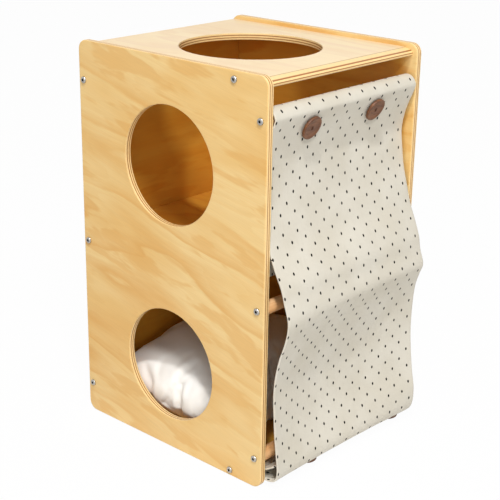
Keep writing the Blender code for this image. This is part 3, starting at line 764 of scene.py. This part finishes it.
def cloth_path(x, count):
    """The cloth's side view at a place across it, on parabolas through the three columns."""
    across = (x - CLOTH_LEFT_X) / (CLOTH_RIGHT_X - CLOTH_LEFT_X)
    left = (1 - across) * (1 - 2 * across)
    middle = 4 * across * (1 - across)
    right = across * (2 * across - 1)
    columns = zip(cloth_points(0), cloth_points(1), cloth_points(2))
    return smooth_path([left * a + middle * b + right * c for a, b, c in columns], count)


def cloth_ripple(x, reach):
    """How far the hanging cloth stands off its even shape, in metres."""
    broad = noise.noise(Vector((x * 7.0, reach * 4.0, 1.7))) * RIPPLE_BROAD
    small = noise.noise(Vector((x * 22.0, reach * 11.0, 5.2))) * RIPPLE_SMALL
    return broad + small


def front_row(path):
    """The first place past the loop's crest where the cloth is down to the first row of dots."""
    crest = max(range(len(path)), key=lambda i: path[i][1])
    return next(i for i in range(crest, len(path)) if path[i][1] <= DOT_ROW_Z)


def cloth_column(work, x):
    """One line of the cloth's points, from hem to hem, with their places on the flat cloth."""
    path, length = cloth_path(x, CLOTH_ROWS)
    start = front_row(path)
    column = []
    for i, (y, z) in enumerate(path):
        reach = (i - start) * length / (CLOTH_ROWS - 1)
        ahead = path[min(i + 1, CLOTH_ROWS - 1)] - path[max(i - 1, 0)]
        outward = Vector((ahead[1], -ahead[0])).normalized()
        free = min(1.0, max(0.0, (reach - 0.03) / 0.06))
        off = cloth_ripple(x, reach) * free
        point = work.verts.new((x, y + CASE_Y + outward[0] * off, z + outward[1] * off))
        column.append((point, (x - DOT_X, reach)))
    return column, length


def curtain():
    """The cloth front: one strip of double canvas over the rail, with its dots and ripples."""
    work = bmesh.new()
    spots = work.loops.layers.uv.new("cloth")
    width = CLOTH_RIGHT_X - CLOTH_LEFT_X
    grid = []
    for step in range(CLOTH_COLUMNS):
        column, length = cloth_column(work, CLOTH_LEFT_X + width * step / (CLOTH_COLUMNS - 1))
        grid.append(column)
    for low, high in zip(grid, grid[1:]):
        for i in range(CLOTH_ROWS - 1):
            corners = (low[i], high[i], high[i + 1], low[i + 1])
            face = work.faces.new([point for point, spot in corners])
            for loop, (point, spot) in zip(face.loops, corners):
                loop[spots].uv = spot
    mesh = bpy.data.meshes.new("curtain_canvas")
    work.to_mesh(mesh)
    work.free()
    mesh.shade_smooth()
    piece = new_piece("curtain_canvas", mesh, canvas(), "curtain")
    made = piece.modifiers.new("double_canvas", "SOLIDIFY")
    made.thickness = CLOTH_THICK
    made.offset = 0.0
    made = piece.modifiers.new("rolled_edge", "BEVEL")
    made.width = 0.0008
    made.segments = 2
    made.limit_method = "ANGLE"
    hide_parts("curtain")


def button_axes(name):
    """The place of a CAD button and its outward direction, from its mesh."""
    low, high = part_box(name)
    middle = (low + high) / 2
    areas = {}
    for face in nodes[name].data.polygons:
        key = tuple(round(value, 2) for value in face.normal)
        areas[key] = areas.get(key, 0.0) + face.area
    back = Vector(max(areas, key=areas.get)).normalized()
    outward = -back if back.y > 0.3 or back.z > 0.9 else back
    return middle, outward


def button_piece(name, wood, thread):
    """A turned wooden button with a raised rim and a dished face. Thread stands for its holes."""
    middle, outward = button_axes(name)
    work = bmesh.new()
    spots = work.loops.layers.uv.new("cloth")
    half = BUTTON_THICK / 2
    inner = BUTTON_R - 0.0035
    profile = [(0.0008, half - BUTTON_DISH), (0.006, half - 0.00125)]
    profile.append((inner - 0.0035, half - 0.0010))
    profile += [(inner - 0.001, half - 0.0006), (inner, half - 0.00012), (inner + 0.0008, half)]
    profile += [(BUTTON_R - 0.0012, half), (BUTTON_R - 0.0004, half - 0.0003)]
    profile += [(BUTTON_R, half - 0.001), (BUTTON_R, 0.001 - half)]
    profile += [(BUTTON_R - 0.0004, 0.0003 - half), (BUTTON_R - 0.0012, -half), (0.0008, -half)]
    made = [ring(work, round_points(radius, height, BUTTON_STEPS)) for radius, height in profile]
    for first, second in zip(made, made[1:]):
        bridge(work, first, second)
    work.faces.new(made[0])
    work.faces.new(made[-1])
    bmesh.ops.recalc_face_normals(work, faces=work.faces)
    for face in work.faces:
        for loop in face.loops:
            loop[spots].uv = (loop.vert.co.x + middle.x, loop.vert.co.y)
    mesh = bpy.data.meshes.new(name + "_wood")
    work.to_mesh(mesh)
    work.free()
    mesh.shade_smooth()
    mesh.set_sharp_from_angle(angle=math.radians(SHARP_BUTTON))
    place = Matrix.Translation(middle) @ outward.to_track_quat("Z", "X").to_matrix().to_4x4()
    mesh.transform(place)
    piece = new_piece(name + "_wood", mesh, wood, "curtain")
    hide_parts(name)
    stitches(name, place, thread)


def stitches(name, place, thread):
    """Two turns of thread on the button's face, and its shank behind."""
    curve = bpy.data.curves.new(name + "_thread", "CURVE")
    curve.dimensions = "3D"
    curve.bevel_depth = THREAD_R
    curve.bevel_resolution = 3
    curve.use_fill_caps = True
    top = BUTTON_THICK / 2 - BUTTON_DISH
    for shift in (-0.0006, 0.0006):
        spline = curve.splines.new("POLY")
        points = []
        for step in range(13):
            angle = math.pi * step / 12
            height = top - 0.0004 + 0.0011 * math.sin(angle)
            points.append((THREAD_REACH * math.cos(angle), shift, height))
        spline.points.add(len(points) - 1)
        for point, spot in zip(spline.points, points):
            point.co = (*spot, 1.0)
    shank = curve.splines.new("POLY")
    shank.points.add(1)
    shank.points[0].co = (0, 0, -BUTTON_THICK / 2 + 0.0005, 1.0)
    shank.points[1].co = (0, 0, -BUTTON_THICK / 2 - 0.0016, 1.0)
    holder = bpy.data.objects.new(name + "_thread", curve)
    bpy.context.scene.collection.objects.link(holder)
    graph = bpy.context.evaluated_depsgraph_get()
    mesh = bpy.data.meshes.new_from_object(holder.evaluated_get(graph))
    bpy.data.objects.remove(holder, do_unlink=True)
    mesh.transform(place)
    mesh.shade_smooth()
    mesh.materials.clear()
    new_piece(name + "_thread", mesh, thread, "curtain")


def buttons():
    """The four sewn buttons."""
    wood, thread = button_wood(), sewing_thread()
    for row in ("top", "bottom"):
        for side in ("left", "right"):
            button_piece(f"{row}_{side}_button", wood, thread)


def pillow_layers(rise):
    """Two layers of cotton that share their edge, raised a little in the middle."""
    work = bmesh.new()
    edge = {}
    for layer in (1, -1):
        grid = []
        for i in range(PILLOW_COLUMNS + 1):
            u = 2 * i / PILLOW_COLUMNS - 1
            line = []
            for j in range(PILLOW_ROWS + 1):
                v = 2 * j / PILLOW_ROWS - 1
                if (i, j) in edge:
                    line.append(edge[i, j])
                    continue
                x = u * math.sqrt(1 - ROUND_CORNER * v * v) * PILLOW_CUT[0] / 2
                y = v * math.sqrt(1 - ROUND_CORNER * u * u) * PILLOW_CUT[1] / 2
                vert = work.verts.new((x, y, layer * rise * math.sqrt((1 - u**4) * (1 - v**4))))
                if i in (0, PILLOW_COLUMNS) or j in (0, PILLOW_ROWS):
                    edge[i, j] = vert
                line.append(vert)
            grid.append(line)
        for low, high in zip(grid, grid[1:]):
            for j in range(PILLOW_ROWS):
                corners = (low[j], high[j], high[j + 1], low[j + 1])
                work.faces.new(corners if layer > 0 else corners[::-1])
    work.verts.index_update()
    seam = [vert.index for vert in edge.values()]
    mesh = bpy.data.meshes.new("cushion_cotton")
    work.to_mesh(mesh)
    work.free()
    return mesh, seam


def fill_pillow(piece, seam):
    """Swells the two layers with Blender's cloth, and gathers them a little along the seam."""
    gather = piece.vertex_groups.new(name="seam")
    gather.add(seam, 1.0, "REPLACE")
    made = piece.modifiers.new("swell", "CLOTH")
    for label, value in SWELL.items():
        setattr(made.settings, label, value)
    made.settings.effector_weights.gravity = 0.0
    for frame_number in range(1, SWELL_FRAMES + 1):
        bpy.context.scene.frame_set(frame_number)
    settle(piece)
    bpy.context.scene.frame_set(1)


def settle(piece):
    """Keeps a piece's shape as its modifiers now give it, and takes them off."""
    graph = bpy.context.evaluated_depsgraph_get()
    shaped = bpy.data.meshes.new_from_object(piece.evaluated_get(graph))
    piece.modifiers.clear()
    piece.data = shaped


def press_crease(vert, normal):
    """Draws the cotton in along the deepest crease, sharp above it and soft below."""
    for first, second in zip(CREASE, CREASE[1:]):
        start, stop = Vector(first), Vector(second)
        along = stop - start
        share = (vert.co - start).dot(along) / along.length_squared
        nearest = start + along * min(1.0, max(0.0, share))
        off = vert.co - nearest
        above = off.dot(normal.cross(along).normalized())
        width = CREASE_ABOVE if above > 0 else CREASE_BELOW
        fade = 1.0 if first is CREASE[0] else 1.0 - 0.8 * min(1.0, max(0.0, share))
        if 0.0 <= share <= 1.0:
            return -normal * CREASE_DEEP * fade * math.exp(-((off.length / width) ** 2))
    return Vector()


def fit_pillow(mesh, low, high):
    """Brings the filled cushion to its CAD size, flat where it rests on the floor panel."""
    places = [vert.co.copy() for vert in mesh.vertices]
    least = [min(place[i] for place in places) for i in range(3)]
    most = [max(place[i] for place in places) for i in range(3)]
    seam_z = low.z + PILLOW_SEAM
    for vert, place in zip(mesh.vertices, places):
        for i in (0, 1):
            share = (place[i] - least[i]) / (most[i] - least[i])
            vert.co[i] = low[i] + share * (high[i] - low[i])
        if place.z > 0:
            vert.co.z = seam_z + place.z / most[2] * (high.z - seam_z)
        else:
            vert.co.z = seam_z - place.z / least[2] * (PILLOW_SEAM + PILLOW_UNDER)
    mesh.update()
    moves = [press_crease(vert, vert.normal.copy()) for vert in mesh.vertices]
    for vert, move in zip(mesh.vertices, moves):
        vert.co += move
        vert.co.z = max(vert.co.z, low.z)


def cushion():
    """The floor cushion: two sewn layers of cotton, filled until the seam puckers."""
    low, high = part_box("cushion")
    mesh, seam = pillow_layers(PILLOW_RISE)
    piece = new_piece("cushion_cotton", mesh, cotton(), "cushion")
    fill_pillow(piece, seam)
    finer = piece.modifiers.new("finer", "SUBSURF")
    finer.levels = 1
    finer.render_levels = 1
    settle(piece)
    fit_pillow(piece.data, low, high)
    piece.data.shade_smooth()
    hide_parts("cushion")


def camera():
    """The photograph's camera, fitted to about 60 measured points."""
    yaw, pitch, roll = (math.radians(a) for a in (CAMERA_YAW, CAMERA_PITCH, CAMERA_ROLL))
    level = math.cos(pitch)
    ahead = Vector((math.sin(yaw) * level, math.cos(yaw) * level, -math.sin(pitch)))
    sideways = ahead.cross(Vector((0, 0, 1))).normalized()
    upright = sideways.cross(ahead)
    right = sideways * math.cos(roll) + upright * math.sin(roll)
    up = upright * math.cos(roll) - sideways * math.sin(roll)
    lens = bpy.data.cameras.new("photo_camera")
    lens.sensor_width = CAMERA_SENSOR
    lens.lens = CAMERA_LENS
    lens.clip_start = 0.05
    holder = bpy.data.objects.new("photo_camera", lens)
    turn = Matrix((right, up, -ahead)).transposed().to_4x4()
    place = Vector(CAMERA_PLACE) + Vector((0, CASE_Y, 0))
    holder.matrix_world = Matrix.Translation(place) @ turn
    bpy.context.scene.collection.objects.link(holder)
    bpy.context.scene.camera = holder


def area_light(name, spot, size, power):
    """A round lamp of plain white light."""
    lamp = bpy.data.lights.new(name, "AREA")
    lamp.shape = "DISK"
    lamp.size = size
    lamp.energy = power
    holder = bpy.data.objects.new(name, lamp)
    holder.location = spot
    ahead = Vector(LAMP_AIM) - Vector(spot)
    holder.rotation_euler = ahead.to_track_quat("-Z", "Y").to_euler()
    bpy.context.scene.collection.objects.link(holder)


def white_world():
    """Soft light from all round; the camera and reflections see plain white."""
    world = bpy.data.worlds.new("studio")
    bpy.context.scene.world = world
    world.use_nodes = True
    tree = world.node_tree
    backdrop = tree.nodes["Background"]
    path = tree.nodes.new("ShaderNodeLightPath")
    seen = tree.nodes.new("ShaderNodeMath")
    seen.operation = "MAXIMUM"
    tree.links.new(path.outputs["Is Camera Ray"], seen.inputs[0])
    tree.links.new(path.outputs["Is Glossy Ray"], seen.inputs[1])
    strength = tree.nodes.new("ShaderNodeMapRange")
    strength.inputs["To Min"].default_value = SKY_STRENGTH
    strength.inputs["To Max"].default_value = 1.0
    tree.links.new(seen.outputs[0], strength.inputs["Value"])
    tree.links.new(strength.outputs[0], backdrop.inputs["Strength"])
    backdrop.inputs["Color"].default_value = (1.0, 1.0, 1.0, 1.0)


def floor():
    """A white floor that keeps a faint shadow."""
    work = bmesh.new()
    bmesh.ops.create_grid(work, x_segments=1, y_segments=1, size=FLOOR_SIZE)
    mesh = bpy.data.meshes.new("floor")
    work.to_mesh(mesh)
    work.free()
    made = bpy.data.objects.new("floor", mesh)
    made.location.z = -FLOOR_DROP
    bpy.context.scene.collection.objects.link(made)
    shading = Shading("studio_floor", roughness=0.9)
    shading.paint((0.86, 0.86, 0.86, 1.0))
    tree = shading.tree
    glow = shading.node("Emission")
    glow.inputs["Color"].default_value = (1.0, 1.0, 1.0, 1.0)
    path = shading.node("LightPath")
    share = shading.sum("MULTIPLY", path.outputs["Is Camera Ray"], FLOOR_WHITE)
    both = shading.node("MixShader")
    tree.links.new(share, both.inputs[0])
    tree.links.new(shading.shader.outputs[0], both.inputs[1])
    tree.links.new(glow.outputs[0], both.inputs[2])
    tree.links.new(both.outputs[0], tree.nodes["Material Output"].inputs["Surface"])
    mesh.materials.append(shading.material)


def studio():
    """Plain white surroundings and soft lamps."""
    scene = bpy.context.scene
    scene.view_settings.view_transform = "Standard"
    white_world()
    floor()
    for lamp in LAMPS:
        area_light(*lamp)


camera()
studio()
dress_frame()
bolts()
curtain()
buttons()
cushion()
